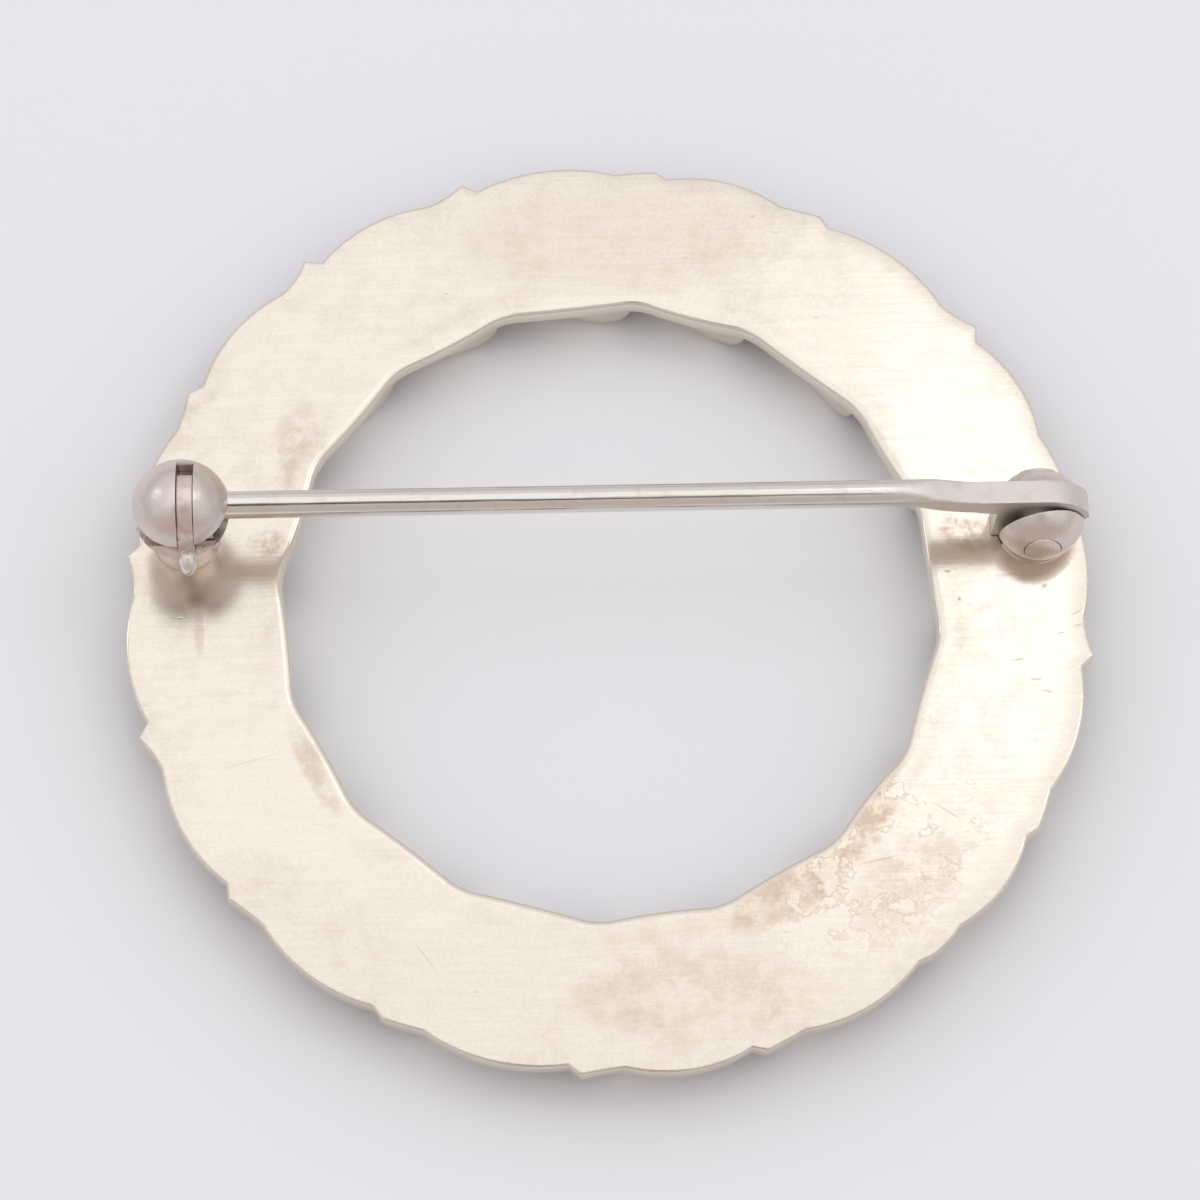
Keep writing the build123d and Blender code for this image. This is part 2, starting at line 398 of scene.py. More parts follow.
# The stage: the floor, the lens and the sensor in millimetres, the camera's aim and the lights in metres
FLOOR_RADIUS = 20000.0
LENS = 126.606
SENSOR = 36
CAMERA_AIM = (-0.000471, 0.000189, 0.003)
LIGHTS = [
    # name, place, width, depth, share of power
    ("top", (0.02, 0.06, 0.55), 0.60, 0.56, 1.0),
    ("right", (0.098, 0.212, 0.54), 0.03, 0.09, 0.055),
    ("window", (-0.33, 0.16, 0.26), 0.04, 0.05, 0.11),
    ("strip", (0.285, 0.095, 0.40), 0.03, 0.12, 0.16),
]
# The room is darker near its walls and on the photographer's side, and darkest at the lens
WALL_HEIGHTS = (0.0, 0.6)
NEAR_SIDE = (0.30, 0.75)
LENS_COSINES = (0.978, 0.993)


def outer_edge(sizes, angle):
    """The ring's outer radius at an angle: barb, hollow, crown and the foot of the next barb."""
    radius, barb_height = mm(sizes.outer_radius), mm(sizes.barb_height)
    for barb, reach, following in leaf_spans():
        turn = (angle - barb + BARB_LEAD) % 360
        span = following - barb
        if turn <= span:
            break
    foot = (0, radius - barb_height)
    tip = (BARB_LEAD, radius * reach)
    bend = (BARB_LEAD + HOLLOW_BEND[0] * HOLLOW_TRAIL, radius - HOLLOW_BEND[1] * HOLLOW_DEPTH)
    hollow = (BARB_LEAD + HOLLOW_TRAIL, radius - HOLLOW_DEPTH)
    crown = (BARB_LEAD + CROWN_PLACE * span, radius - CROWN_DEPTH)
    if turn < tip[0]:
        return through(turn, foot, tip)
    if turn < hollow[0]:
        return through(turn, tip, bend, hollow)
    return through(turn, hollow, crown, (span, radius - barb_height))


def inner_edge(sizes, angle):
    """The ring's inner radius at an angle: each leaf swells inwards between two notches."""
    radius = mm(sizes.inner_radius)
    for barb, _, following in leaf_spans():
        turn = (angle - barb - NOTCH_TRAIL + NOTCH_HALF_ANGLE) % 360
        span = following - barb
        if turn <= span:
            break
    width, shoulder = 2 * NOTCH_HALF_ANGLE, radius + NOTCH_SHOULDER
    if turn < width:
        return through(turn, (0, shoulder), (NOTCH_HALF_ANGLE, radius + NOTCH_HEIGHT), (width, shoulder))
    swell = NOTCH_HALF_ANGLE + SWELL_PLACE * span
    return through(turn, (width, shoulder), (swell, radius), (span, shoulder))


def snapped(angle):
    """A column's angle, moved to a corner of the outline if one lies within half a column."""
    half = 180 / COLUMNS
    for barb, _ in LEAVES:
        for corner in (barb, barb - BARB_LEAD):
            if abs((angle - corner + 180) % 360 - 180) <= half:
                return corner
    return angle


def to_object(name, bm):
    """An object at the origin from a bmesh in millimetres."""
    bmesh.ops.remove_doubles(bm, verts=bm.verts, dist=MERGE)
    bmesh.ops.recalc_face_normals(bm, faces=bm.faces)
    bmesh.ops.scale(bm, vec=(METRES, METRES, METRES), verts=bm.verts)
    mesh = bpy.data.meshes.new(name)
    bm.to_mesh(mesh)
    bm.free()
    obj = bpy.data.objects.new(name, mesh)
    bpy.context.scene.collection.objects.link(obj)
    return obj


def settle(obj):
    """Keeps an object's shape as its modifiers leave it."""
    graph = bpy.context.evaluated_depsgraph_get()
    mesh = bpy.data.meshes.new_from_object(obj.evaluated_get(graph))
    old = obj.data
    obj.modifiers.clear()
    obj.data = mesh
    mesh.name = obj.name
    bpy.data.meshes.remove(old)


def carve(obj, operation, *tools):
    """Joins shapes to an object, or cuts them away."""
    for bm in tools:
        tool = to_object("tool", bm)
        modifier = obj.modifiers.new("carve", "BOOLEAN")
        modifier.operation = operation
        modifier.solver = "EXACT"
        modifier.object = tool
        settle(obj)
        mesh = tool.data
        bpy.data.objects.remove(tool)
        bpy.data.meshes.remove(mesh)


def soften(obj, width):
    """Rounds an object's sharp edges and keeps its flat faces flat."""
    bevel = obj.modifiers.new("soften", "BEVEL")
    bevel.width = width * METRES
    bevel.segments = 3
    bevel.limit_method = "ANGLE"
    bevel.angle_limit = radians(ROUNDED_FROM)
    settle(obj)
    obj.data.shade_smooth()
    obj.data.set_sharp_from_angle(angle=radians(ROUNDED_CREASE))
    normals = obj.modifiers.new("normals", "WEIGHTED_NORMAL")
    normals.keep_sharp = True
    settle(obj)


def wear(obj, body, slot, nodes, *materials):
    """Gives a finished piece its materials and its body, and hides the model's nodes that it stands for."""
    obj.data.materials.clear()
    for material in materials:
        obj.data.materials.append(material)
    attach(obj, body)
    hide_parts(*nodes)


def rod(radius, length, centre, axis):
    """A round bar about an axis."""
    bm = bmesh.new()
    turn = Vector((0, 0, 1)).rotation_difference(Vector(axis)).to_matrix().to_4x4()
    bmesh.ops.create_cone(
        bm,
        cap_ends=True,
        segments=ROD_SIDES,
        radius1=radius,
        radius2=radius,
        depth=length,
        matrix=Matrix.Translation(centre) @ turn,
    )
    return bm


def block(low, high):
    """A box between two corners."""
    bm = bmesh.new()
    low, high = Vector(low), Vector(high)
    size = Matrix.Diagonal((*(high - low), 1))
    bmesh.ops.create_cube(bm, size=1, matrix=Matrix.Translation((low + high) / 2) @ size)
    return bm


def arc(bm, vertex, centre, axis, turn, steps):
    """Draws an arc from a vertex and gives its last vertex."""
    drawn = bmesh.ops.spin(bm, geom=[vertex], cent=centre, axis=axis, angle=radians(turn), steps=steps)
    return next(item for item in drawn["geom_last"] if isinstance(item, bmesh.types.BMVert))


def thicken(bm, direction):
    """Fills a closed outline and gives it a thickness."""
    face = bmesh.ops.contextual_create(bm, geom=bm.edges)["faces"][0]
    raised = bmesh.ops.extrude_face_region(bm, geom=[face])
    verts = [item for item in raised["geom"] if isinstance(item, bmesh.types.BMVert)]
    bmesh.ops.translate(bm, vec=direction, verts=verts)


def sector(centre, inner, outer, thickness, start, end):
    """A sector of a ring about an axis along X, from one angle to another counted from +Y."""
    bm = bmesh.new()
    left = Vector((centre.x - thickness / 2, centre.y, centre.z))
    turn = end - start
    ends = []
    for radius in (inner, outer):
        first = bm.verts.new(left + Vector((0, *polar(radius, start))))
        ends.append((first, arc(bm, first, left, (1, 0, 0), turn, max(8, round(turn / 4)))))
    for pair in zip(*ends):
        bm.edges.new(pair)
    thicken(bm, (thickness, 0, 0))
    return bm


class Value:
    """A node's output, on which Python's arithmetic adds Math nodes."""

    def __init__(self, tree, socket):
        self.tree = tree
        self.socket = socket

    def math(self, operation, *others):
        """A Math node's result on this value and others."""
        node = self.tree.nodes.new("ShaderNodeMath")
        node.operation = operation
        for socket, value in zip(node.inputs, (self, *others)):
            feed(self.tree, socket, value)
        return Value(self.tree, node.outputs[0])

    def __add__(self, other):
        return self.math("ADD", other)

    def __sub__(self, other):
        return self.math("SUBTRACT", other)

    def __rsub__(self, other):
        return self.math("MULTIPLY_ADD", -1.0, other)

    def __mul__(self, other):
        return self.math("MULTIPLY", other)

    def __truediv__(self, other):
        return self.math("DIVIDE", other)

    def __rtruediv__(self, other):
        return self.math("POWER", -1.0).math("MULTIPLY", other)

    def __pow__(self, other):
        return self.math("POWER", other)

    __radd__ = __add__
    __rmul__ = __mul__

    def limited(self):
        """The value held between 0 and 1."""
        node = self.math("ADD", 0.0)
        node.socket.node.use_clamp = True
        return node

    def step(self, low, high):
        """0 below a value, 1 above another, and eased between them."""
        node = self.tree.nodes.new("ShaderNodeMapRange")
        node.interpolation_type = "SMOOTHSTEP"
        feed(self.tree, node.inputs["Value"], self)
        node.inputs["From Min"].default_value = low
        node.inputs["From Max"].default_value = high
        return Value(self.tree, node.outputs["Result"])

    def bell(self, centre, width):
        """1 at a value, falling away on both sides."""
        share = (self - centre) / width
        return 1 / (share * share + 1) ** 2


def feed(tree, socket, value):
    """Links a value to a socket, or sets it there."""
    if isinstance(value, Value):
        tree.links.new(value.socket, socket)
    elif socket.type == "RGBA" and len(value) == 3:
        socket.default_value = (*value, 1.0)
    else:
        socket.default_value = value


class Nodes:
    """A node tree that is built up by calls."""

    def __init__(self, tree):
        self.tree = tree
        tree.nodes.clear()

    def node(self, kind, settings, inputs):
        """Any node, from its type, its settings and its sockets' values or links."""
        node = self.tree.nodes.new(kind)
        for name, value in settings.items():
            setattr(node, name, value)
        for name, value in inputs.items():
            socket = next(item for item in node.inputs if item.name == name and item.enabled)
            feed(self.tree, socket, value)
        return node

    def out(self, node, name):
        """One of a node's outputs."""
        return Value(self.tree, next(item for item in node.outputs if item.name == name and item.enabled))

    def parts(self, vector):
        """The three numbers of a vector."""
        node = self.node("ShaderNodeSeparateXYZ", {}, {"Vector": vector})
        return [self.out(node, name) for name in "XYZ"]

    def mix(self, first, second, share):
        """A colour between two others."""
        node = self.node("ShaderNodeMix", {"data_type": "RGBA"}, {"A": first, "B": second, "Factor": share})
        return self.out(node, "Result")


class Finish(Nodes):
    """A material built up from nodes."""

    def __init__(self, name):
        self.material = bpy.data.materials.new(name)
        self.material.use_nodes = True
        super().__init__(self.material.node_tree)
        place = self.node("ShaderNodeTexCoord", {}, {})
        scaled = self.node(
            "ShaderNodeVectorMath",
            {"operation": "SCALE"},
            {"Vector": self.out(place, "Object"), "Scale": 1 / METRES},
        )
        self.place = self.out(scaled, "Vector")

    def axes(self):
        """The three coordinates in millimetres."""
        return self.parts(self.place)

    def stretched(self, scale, turn=0.0):
        """The coordinates stretched along each axis, after a turn about Z."""
        node = self.node(
            "ShaderNodeMapping",
            {},
            {"Vector": self.place, "Rotation": (0, 0, radians(turn)), "Scale": scale},
        )
        return self.out(node, "Vector")

    def noise(self, spread, detail, roughness=0.55, place=None):
        """Cloudy noise whose patches are about one spread in millimetres."""
        inputs = {"Vector": place or self.place, "Scale": 1 / spread}
        node = self.node("ShaderNodeTexNoise", {}, {**inputs, "Detail": detail, "Roughness": roughness})
        return self.out(node, "Fac")

    def specks(self, spread, radius, place):
        """Small dots, one in each cell of a spread."""
        node = self.node("ShaderNodeTexVoronoi", {"feature": "F1"}, {"Vector": place, "Scale": 1 / spread})
        return 1 - self.out(node, "Distance").step(0.4 * radius / spread, radius / spread)

    def spot(self, at_x, at_y, wide, high, turn):
        """1 in the middle of a turned oval and 0 outside it."""
        x, y, _ = self.axes()
        across = (x - at_x) * cos(radians(turn)) + (y - at_y) * sin(radians(turn))
        along = (y - at_y) * cos(radians(turn)) - (x - at_x) * sin(radians(turn))
        return 1 - ((across / wide) ** 2 + (along / high) ** 2).step(0.2, 1.3)

    def attribute(self, name):
        """A value that is stored in the mesh."""
        return self.out(self.node("ShaderNodeAttribute", {"attribute_name": name}, {}), "Fac")

    def bump(self, height, distance, normal=None):
        """A normal raised by a height."""
        inputs = {"Height": height, "Distance": distance * METRES, "Strength": 1.0}
        if normal:
            inputs["Normal"] = normal
        return self.out(self.node("ShaderNodeBump", {}, inputs), "Normal")

    def surface(self, **inputs):
        """The shader, with its constant sockets set on it, and the finished material."""
        names = {name.replace("_", " "): value for name, value in inputs.items()}
        shader = self.node("ShaderNodeBsdfPrincipled", {}, names)
        output = self.node("ShaderNodeOutputMaterial", {}, {})
        self.tree.links.new(shader.outputs["BSDF"], output.inputs["Surface"])
        return self.material


def back_silver(finish):
    """Satin-polished silver, brushed and pitted, with brown tarnish in patches and beside the opening, and
    a painted reflection of the catch's lever as a dark streak below the catch.
    """
    build = Finish("back_silver")
    _, y, _ = build.axes()
    rim = build.attribute("inner_rim")
    clouds = build.noise(5.5, 3.0)
    mottle = build.noise(1.1, 5.0, 0.62)
    grain = build.noise(0.14, 3.0, 0.6)
    brushing = build.noise(1.0, 4.0, 0.65, build.stretched((0.16, 9.0, 1.0), -4))
    streaks = build.noise(1.0, 3.0, 0.6, build.stretched((0.3, 2.6, 1.0), -4))
    tarnish = DULL + 0.16 * mottle.step(0.36, 0.7) * clouds.step(0.38, 0.66)
    # The back is also made browner and darker towards its near (-Y) edge, and tarnished in a line beside
    # the opening
    tarnish = tarnish + 0.09 * (1 - y.step(-20, -9)) + 0.12 * rim.bell(1.1, 0.5) * clouds.step(0.4, 0.6)
    tarnish = tarnish + 0.2 * (brushing - 0.5) + 0.2 * (streaks - 0.5) + 0.34 * (grain - 0.5)
    # The stains and scratches darken the back, and so does the painted reflection of the catch's lever
    for *oval, strength, evenness in STAINS_AND_PAINTED_REFLECTION:
        cover = evenness + (1 - evenness) * mottle.step(0.38, 0.6)
        tarnish = tarnish + strength * build.spot(*oval) * cover
    for *oval, strength in SCRATCHES:
        tarnish = tarnish + strength * build.spot(*oval)
    edge = 1 - (mottle + 2.0 * (clouds - 0.5) - 0.5).math("ABSOLUTE").step(0.0, 0.05)
    tarnish = tarnish + 0.34 * edge * build.spot(*TIDE)
    pits = build.specks(1.7, 0.11, build.stretched((0.6, 1.5, 1.0), -6)) * mottle.step(0.47, 0.53)
    tarnish = (tarnish + 0.35 * pits) * rim.step(0.05, 0.45)
    tint = build.mix(finish.silver, finish.tarnish, tarnish.limited())
    roughness = finish.back_roughness + 0.12 * tarnish.limited()
    roughness = roughness + 0.06 * (brushing - 0.5) + 0.05 * (mottle - 0.5)
    wave = build.bump(build.noise(6.0, 1.0), 0.05)
    marks = build.bump(brushing + 0.5 * grain - 2.0 * pits, 0.003, normal=wave)
    return build.surface(Base_Color=tint, Metallic=1.0, Roughness=roughness, Normal=marks)


def dark_silver(finish):
    """Cast silver, blackened in the ground behind the leaves."""
    build = Finish("ground_silver")
    grain = build.noise(0.3, 5.0, 0.65)
    tint = build.mix(finish.dark_silver, finish.grey_silver, 0.35 * grain)
    return build.surface(
        Base_Color=tint, Metallic=1.0, Roughness=0.45 + 0.2 * grain, Normal=build.bump(grain, 0.05)
    )


def leaf_silver(finish):
    """Cast silver, polished on the leaves' tops and blackened in their hollows."""
    build = Finish("leaf_silver")
    relief = build.attribute("relief")
    groove = build.attribute("groove")
    mottle = build.noise(0.8, 5.0)
    x, y, _ = build.axes()
    worn = 1 - ((x * x + y * y) ** 0.5).step(*WORN_REACH)
    polish = (relief.step(0.15, 0.75) * (1 - groove) + 0.9 * worn + 0.25 * (mottle - 0.5)).limited()
    tint = build.mix(finish.dark_silver, finish.silver, polish)
    grain = build.noise(0.12, 3.0)
    roughness = 0.5 - 0.26 * polish + 0.08 * (mottle - 0.5)
    return build.surface(
        Base_Color=tint, Metallic=1.0, Roughness=roughness, Normal=build.bump(grain, 0.006)
    )


def grey_silver(finish):
    """Dull cast silver of the fittings, grained and mottled by tarnish, with painted shade that makes them
    browner and darker low down near the back.
    """
    build = Finish("fitting_silver")
    _, _, z = build.axes()
    mottle = build.noise(0.7, 5.0, 0.6)
    patches = build.noise(1.8, 3.0)
    grain = build.noise(0.1, 3.0, 0.6)
    # Painted shade: each fitting is tinted browner and darker from 5.6 mm down to the back at 3 mm; the
    # patches, mottle and grain are tarnish
    tarnish_and_painted_low_shade = 0.45 * patches.step(0.42, 0.68) + 0.32 * (1 - z.step(3.0, 5.6))
    tarnish_and_painted_low_shade = tarnish_and_painted_low_shade + 0.35 * (mottle - 0.5) + 0.5 * (grain - 0.5)
    tint = build.mix(finish.grey_silver, finish.tarnish, 0.5 * tarnish_and_painted_low_shade.limited())
    roughness = 0.27 + 0.12 * (mottle - 0.5) + 0.1 * tarnish_and_painted_low_shade.limited()
    return build.surface(
        Base_Color=tint, Metallic=1.0, Roughness=roughness, Normal=build.bump(mottle + 0.5 * grain, 0.02)
    )


def drawn_silver(finish):
    """Hard-drawn silver wire with fine lines along it, duller and grained where it is forged flat."""
    build = Finish("wire_silver")
    x, _, _ = build.axes()
    forged = x.step(*FORGED_FROM)
    lines = build.noise(1.0, 3.0, 0.6, build.stretched((0.12, 9.0, 9.0)))
    mottle = build.noise(0.8, 4.0)
    grain = build.noise(0.08, 3.0, 0.6)
    dull = 0.2 * mottle.step(0.5, 0.75) + 0.16 * (lines - 0.5) + forged * (0.08 + 0.5 * (grain - 0.5))
    tint = build.mix(finish.wire_silver, finish.tarnish, dull.limited())
    roughness = 0.11 + 0.31 * forged + 0.08 * (lines - 0.5) + 0.05 * (mottle - 0.5)
    marks = build.bump(grain * forged, 0.03, normal=build.bump(lines, 0.006))
    return build.surface(Base_Color=tint, Metallic=1.0, Roughness=roughness, Normal=marks)


def handled_silver(finish):
    """Silver of the lock: dull on its plate and rubbed bright on the knob."""
    build = Finish("handled_silver")
    _, y, _ = build.axes()
    knob = (LOCK.y - y).step(*KNOB_REACH)
    mottle = build.noise(0.5, 4.0, 0.6)
    grain = build.noise(0.09, 3.0, 0.6)
    dull = 0.35 * mottle.step(0.42, 0.7) + 0.4 * (grain - 0.5) + 0.12 * (1 - knob)
    clean = build.mix(finish.grey_silver, finish.wire_silver, knob)
    tint = build.mix(clean, finish.tarnish, dull.limited())
    return build.surface(
        Base_Color=tint,
        Metallic=1.0,
        Roughness=0.3 - 0.1 * knob + 0.1 * (mottle - 0.5),
        Normal=build.bump(mottle + 0.5 * grain, 0.015),
    )


def floor_paint(stage):
    """Plain pale board."""
    build = Finish("floor")
    grain = build.noise(40.0, 2.0)
    tint = build.mix(stage.floor, tuple(part * 0.985 for part in stage.floor), grain)
    return build.surface(Base_Color=tint, Roughness=0.8)


class BROOCH_OT_plate(bpy.types.Operator):
    """Builds the ring's plate, whose edges follow the leaves"""

    bl_idname = "brooch.plate"
    bl_label = "Ring plate"

    def execute(self, context):
        sizes, finish = context.scene.brooch_sizes, context.scene.brooch_finish
        inner, outer = mm(sizes.inner_radius), mm(sizes.outer_radius)
        back, front = mm(sizes.ring_depth), mm(sizes.ring_depth - sizes.plate_thickness)
        first, last = inner + INNER_RIM[-1][0], outer - OUTER_RIM[0][0]
        section = [(inner, front)]
        section += [(inner + inset, back - drop) for inset, drop in INNER_RIM]
        section += [(first + (last - first) * row / FLAT_ROWS, back) for row in range(1, FLAT_ROWS)]
        section += [(outer - inset, back - drop) for inset, drop in OUTER_RIM]
        section += [(outer, front)]
        bm = bmesh.new()
        corners = [bm.verts.new((radius, 0, z)) for radius, z in section]
        edges = [bm.edges.new(pair) for pair in zip(corners, corners[1:] + corners[:1])]
        bmesh.ops.spin(
            bm, geom=corners + edges, axis=(0, 0, 1), angle=2 * pi, steps=COLUMNS, use_merge=True
        )
        inner_rim = bm.verts.layers.float.new("inner_rim")
        columns = {}
        for vert in bm.verts:
            radius, angle = vert.co.xy.length, snapped(degrees(atan2(vert.co.y, vert.co.x)) % 360)
            if angle not in columns:
                columns[angle] = inner_edge(sizes, angle), outer_edge(sizes, angle)
            near, far = columns[angle]
            share = smooth((radius - first) / (last - first))
            moved = radius + (1 - share) * (near - inner) + share * (far - outer)
            vert.co.xy = polar(moved, angle)
            vert[inner_rim] = moved - near
        ring = to_object("ring_plate", bm)
        # The side behind the leaves has the second material
        for polygon in ring.data.polygons:
            polygon.material_index = int(polygon.normal.z < -0.9)
        ring.data.shade_smooth()
        ring.data.set_sharp_from_angle(angle=radians(PLATE_CREASE))
        wear(ring, "brooch", "ring_silver", ["wreath_ring"], back_silver(finish), dark_silver(finish))
        return {"FINISHED"}


def leaf(bm, layers, tip, base, outward, inward, front):
    """Adds one leaf of the relief: a domed, veined grid, closed where it sinks into the plate."""
    relief, groove = layers
    tip, base = Vector(tip), Vector(base)
    run = tip - base
    made = bmesh.ops.create_grid(bm, x_segments=LEAF_ROWS[0], y_segments=LEAF_ROWS[1], size=1)["verts"]
    rim = {edge for vert in made for edge in vert.link_edges if edge.is_boundary}
    side = Vector((-run.y, run.x)).normalized()
    for vert in made:
        along, across = vert.co.xy
        bulge = outward if across > 0 else inward
        half = bulge * (1 - along * along) * (1 - LEAF_SKEW * along)
        crown = (1 - abs(across) ** 3.0) ** 0.8 * (1 - abs(along) ** 6) ** 0.8
        midrib = exp(-((across / MIDRIB_WIDTH) ** 2)) * smooth((0.86 - along) / 0.3)
        phase = (along + VEIN_SLANT * abs(across)) * VEINS % 1.0
        vein = exp(-(((phase - 0.5) / VEIN_WIDTH) ** 2))
        vein *= smooth(abs(across) / 0.2) * smooth((0.88 - abs(across)) / 0.3)
        depth = MIDRIB_DEPTH * midrib + VEIN_DEPTH * vein * smooth((0.9 - abs(along)) / 0.2)
        spot = (tip + base) / 2 + run * along / 2 + side * across * half
        vert.co = (*spot, front - crown * (front - depth))
        vert[relief] = crown
        vert[groove] = max(0.9 * midrib, 0.55 * vein) * crown
    sunk = bmesh.ops.extrude_edge_only(bm, edges=list(rim))["geom"]
    lower = [item for item in sunk if isinstance(item, bmesh.types.BMVert)]
    bmesh.ops.translate(bm, vec=(0, 0, LEAF_SINK), verts=lower)
    bmesh.ops.edgeloop_fill(bm, edges=[item for item in sunk if isinstance(item, bmesh.types.BMEdge)])


class BROOCH_OT_leaves(bpy.types.Operator):
    """Builds the wreath's stem and its two rows of leaves"""

    bl_idname = "brooch.leaves"
    bl_label = "Leaves"

    def execute(self, context):
        sizes, finish = context.scene.brooch_sizes, context.scene.brooch_finish
        inner, outer = mm(sizes.inner_radius), mm(sizes.outer_radius)
        front, stem = mm(sizes.ring_depth - sizes.plate_thickness), mm(sizes.stem_radius)
        bm = bmesh.new()
        layers = bm.verts.layers.float.new("relief"), bm.verts.layers.float.new("groove")
        for barb, _ in LEAVES:
            base = polar(stem, barb + LEAF_REACH)
            outer_tip = polar(outer - OUTER_LEAF["margin"], barb + BARB_LEAD / 2)
            inner_tip = polar(inner + INNER_LEAF["margin"], barb + NOTCH_TRAIL + BARB_LEAD / 2)
            leaf(bm, layers, outer_tip, base, OUTER_LEAF["outward"], OUTER_LEAF["inward"], front)
            leaf(bm, layers, inner_tip, base, INNER_LEAF["outward"], INNER_LEAF["inward"], front)
        leaves = to_object("leaf_relief", bm)
        leaves.data.shade_smooth()
        leaves.data.set_sharp_from_angle(angle=radians(LEAF_CREASE))
        wear(leaves, "brooch", "ring_silver", ["wreath_ring"], leaf_silver(finish))
        bm = bmesh.new()
        relief = bm.verts.layers.float.new("relief")
        bm.verts.layers.float.new("groove")
        circle = bmesh.ops.create_circle(
            bm,
            segments=TWIG_SIDES,
            radius=mm(sizes.stem_wire) / 2,
            matrix=Matrix.Translation((stem, 0, front)) @ Matrix.Rotation(pi / 2, 4, "X"),
        )["verts"]
        edges = {edge for vert in circle for edge in vert.link_edges}
        bmesh.ops.spin(
            bm, geom=circle + list(edges), axis=(0, 0, 1), angle=2 * pi, steps=STEM_STEPS, use_merge=True
        )
        for vert in bm.verts:
            vert[relief] = min(max((front - vert.co.z) / mm(sizes.stem_wire) * 2, 0.0), 1.0)
        twig = to_object("wreath_stem", bm)
        twig.data.shade_smooth()
        wear(twig, "brooch", "ring_silver", ["wreath_ring"], leaves.data.materials[0])
        return {"FINISHED"}


def turned_body(centre, profile):
    """A ball turned in one piece with its foot, whose profile gives each corner's radius and height."""
    bm = bmesh.new()
    foot = [bm.verts.new((centre.x + away, centre.y, height)) for away, height in profile]
    for pair in zip(foot, foot[1:]):
        bm.edges.new(pair)
    away, height = profile[-1]
    arc(bm, foot[-1], centre, (0, -1, 0), 90 + degrees(atan2(centre.z - height, away)), BALL_ROWS)
    bmesh.ops.spin(
        bm,
        geom=bm.verts[:] + bm.edges[:],
        cent=centre,
        axis=(0, 0, 1),
        angle=2 * pi,
        steps=BALL_COLUMNS,
        use_merge=True,
    )
    return bm


class BROOCH_OT_hinge(bpy.types.Operator):
    """Builds the slotted hinge ball, its rivet and its solder"""

    bl_idname = "brooch.hinge"
    bl_label = "Hinge"

    def execute(self, context):
        sizes, finish = context.scene.brooch_sizes, context.scene.brooch_finish
        back, radius = mm(sizes.ring_depth), mm(sizes.hinge_radius)
        centre = Vector((RIVET.x, RIVET.y - HINGE_SHIFT, back + HINGE_LIFT))
        slot = mm(sizes.tab_thickness) / 2 + SLOT_GAP
        rivet_radius = mm(sizes.rivet_diameter) / 2
        bore_centre = (centre.x, centre.y, RIVET.z)
        rim = sqrt(radius**2 - (HINGE_LIFT - FLANGE) ** 2)
        floor, ledge = back - SOLDER_SINK, back + FLANGE
        profile = [(0, floor), (HINGE_FOOT, floor), (HINGE_FOOT, ledge), (rim, ledge)]
        hinge = to_object("hinge_ball", turned_body(centre, profile))
        near_side, far_side, roof = RIVET.y - slot, RIVET.y + slot, back + PAST
        wedge = block((centre.x - PAST, near_side, back), (centre.x + WEDGE_END, RIVET.y, roof))
        turn = Matrix.Rotation(radians(WEDGE_ANGLE), 3, "Z")
        pivot = (centre.x + WEDGE_PIVOT, near_side, back)
        bmesh.ops.rotate(wedge, cent=pivot, matrix=turn, verts=wedge.verts)
        carve(
            hinge,
            "DIFFERENCE",
            block((centre.x - PAST, near_side, back), (centre.x + PAST, far_side, roof)),
            wedge,
            rod(rivet_radius + RIVET_GAP, RIVET_STOCK, bore_centre, (0, 1, 0)),
        )
        soften(hinge, HINGE_EDGE)
        grey = grey_silver(finish)
        wear(hinge, "brooch", "ring_silver", ["wreath_ring"], grey)
        rivet = to_object("rivet", rod(rivet_radius, RIVET_STOCK, bore_centre, (0, 1, 0)))
        proud = radius + RIVET_PROUD
        carve(rivet, "INTERSECT", turned_body(centre, [(0, centre.z - proud)]))
        soften(rivet, RIVET_EDGE)
        wear(rivet, "brooch", "rivet_silver", ["hinge_rivet"], grey)
        return {"FINISHED"}


def mouth_shape(centre, height):
    """What the catch's mouth cuts away: round where the wire lies, with a lower lip that slopes out."""
    bm = bmesh.new()
    left = centre.x - MOUTH_REACH
    low = bm.verts.new((left, RIVET.y, LOCK.z - height))
    high = arc(bm, low, (left, RIVET.y, LOCK.z), (1, 0, 0), 180, 24)
    corner_y, outer_y = centre.y - LIP_START, centre.y - MOUTH_REACH
    drop = (corner_y - outer_y) * tan(radians(LIP_SLOPE))
    spots = [(outer_y, LOCK.z + height), (outer_y, LOCK.z - height - drop), (corner_y, LOCK.z - height)]
    roof, floor, corner = [bm.verts.new((left, y, z)) for y, z in spots]
    for pair in ((high, roof), (roof, floor), (floor, corner), (corner, low)):
        bm.edges.new(pair)
    thicken(bm, (2 * MOUTH_REACH, 0, 0))
    return bm


